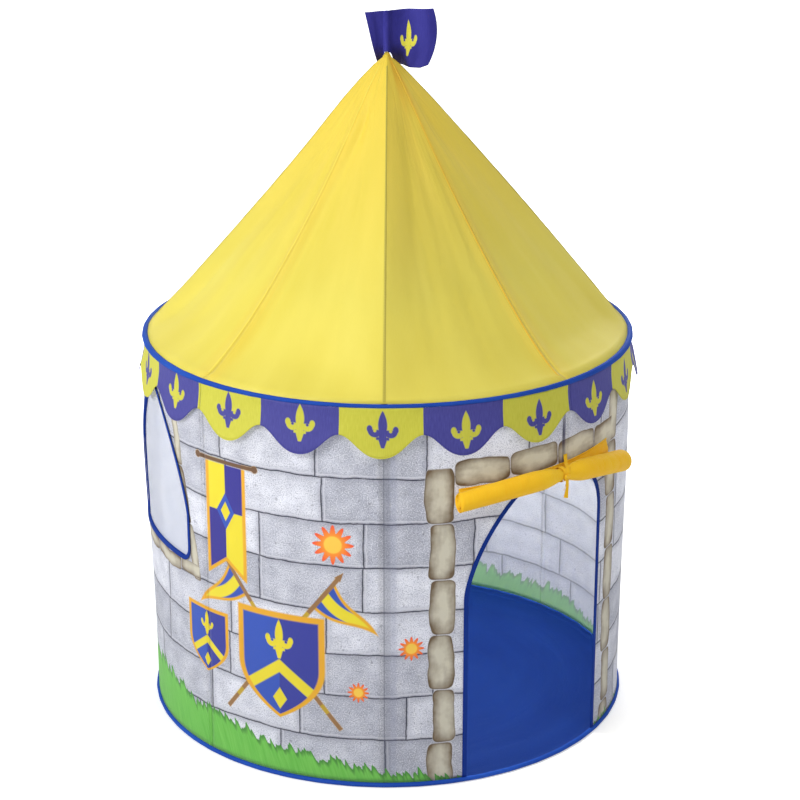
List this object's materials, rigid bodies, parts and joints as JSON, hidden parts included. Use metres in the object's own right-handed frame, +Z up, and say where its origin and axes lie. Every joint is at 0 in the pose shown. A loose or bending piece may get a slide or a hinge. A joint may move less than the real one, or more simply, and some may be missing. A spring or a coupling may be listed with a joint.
{
  "type": "children's play tent",
  "caption": "Round pop-up play tent shaped like a castle tower, with a pointed roof, a scalloped skirt, a netted window and a doorway with a rolled-up curtain.",
  "frame": {"origin": "on the tower's axis, on the ground under the floor cloth", "axes": "+Z up, -Y the tent's front, +X to the right of someone who faces the front"},
  "size_m": [1.0266, 1.0405, 1.46],
  "materials": {
    "stone_print_cloth": "matte",
    "yellow_roof_cloth": "satin",
    "blue_floor_cloth": "satin",
    "blue_edge_tape": "satin",
    "valance_cloth": "satin",
    "flag_cloth": "satin",
    "orange_curtain_cloth": "satin",
    "white_window_net": "matte",
    "grey_sleeve_cloth": "matte",
    "pale_pole_plastic": "satin",
    "black_joint_plastic": "matte",
    "hoop_spring_steel": "satin"
  },
  "bodies": {
    "tent": {"wall_panel_front": "stone_print_cloth", "wall_panel_right": "stone_print_cloth", "wall_panel_back": "stone_print_cloth", "wall_panel_left": "stone_print_cloth", "roof_gore_front": "yellow_roof_cloth", "roof_gore_right": "yellow_roof_cloth", "roof_gore_back": "yellow_roof_cloth", "roof_gore_left": "yellow_roof_cloth", "floor_sheet": "blue_floor_cloth", "floor_hoop_tape": "blue_edge_tape", "eave_hoop_tape": "blue_edge_tape", "door_edge_tape": "blue_edge_tape", "window_edge_tape": "blue_edge_tape", "valance_front": "valance_cloth", "valance_right": "valance_cloth", "valance_back": "valance_cloth", "valance_left": "valance_cloth", "window_net": "white_window_net", "pole_sleeve_front": "grey_sleeve_cloth", "pole_sleeve_right": "grey_sleeve_cloth", "pole_sleeve_back": "grey_sleeve_cloth", "pole_sleeve_left": "grey_sleeve_cloth", "lower_wall_pole_front": "pale_pole_plastic", "lower_wall_pole_right": "pale_pole_plastic", "lower_wall_pole_back": "pale_pole_plastic", "lower_wall_pole_left": "pale_pole_plastic", "upper_wall_pole_front": "pale_pole_plastic", "upper_wall_pole_right": "pale_pole_plastic", "upper_wall_pole_back": "pale_pole_plastic", "upper_wall_pole_left": "pale_pole_plastic", "roof_pole_front": "pale_pole_plastic", "roof_pole_right": "pale_pole_plastic", "roof_pole_back": "pale_pole_plastic", "roof_pole_left": "pale_pole_plastic", "flag_stick": "pale_pole_plastic", "pole_ferrule_front": "black_joint_plastic", "pole_ferrule_right": "black_joint_plastic", "pole_ferrule_back": "black_joint_plastic", "pole_ferrule_left": "black_joint_plastic", "eave_elbow_front": "black_joint_plastic", "eave_elbow_right": "black_joint_plastic", "eave_elbow_back": "black_joint_plastic", "eave_elbow_left": "black_joint_plastic", "apex_hub": "black_joint_plastic", "floor_hoop": "hoop_spring_steel", "eave_hoop": "hoop_spring_steel", "floor_hoop_ferrule": "hoop_spring_steel", "eave_hoop_ferrule": "hoop_spring_steel"},
    "flag": {"flag": "flag_cloth"},
    "door_roll": {"door_roll": "orange_curtain_cloth", "door_curtain": "orange_curtain_cloth", "door_tie": "orange_curtain_cloth"}
  },
  "joints": [
    {"name": "flag_swivel", "type": "hinge", "parent": "tent", "child": "flag", "pos_m": [0, 0, 1.4], "axis": [0, 0, 1], "continuous": true},
    {"name": "door_roll_down", "type": "slide", "parent": "tent", "child": "door_roll", "axis": [0, 0, -1], "range_m": [0, 0.56], "deforming": ["door_curtain", "door_tie"]}
  ]
}
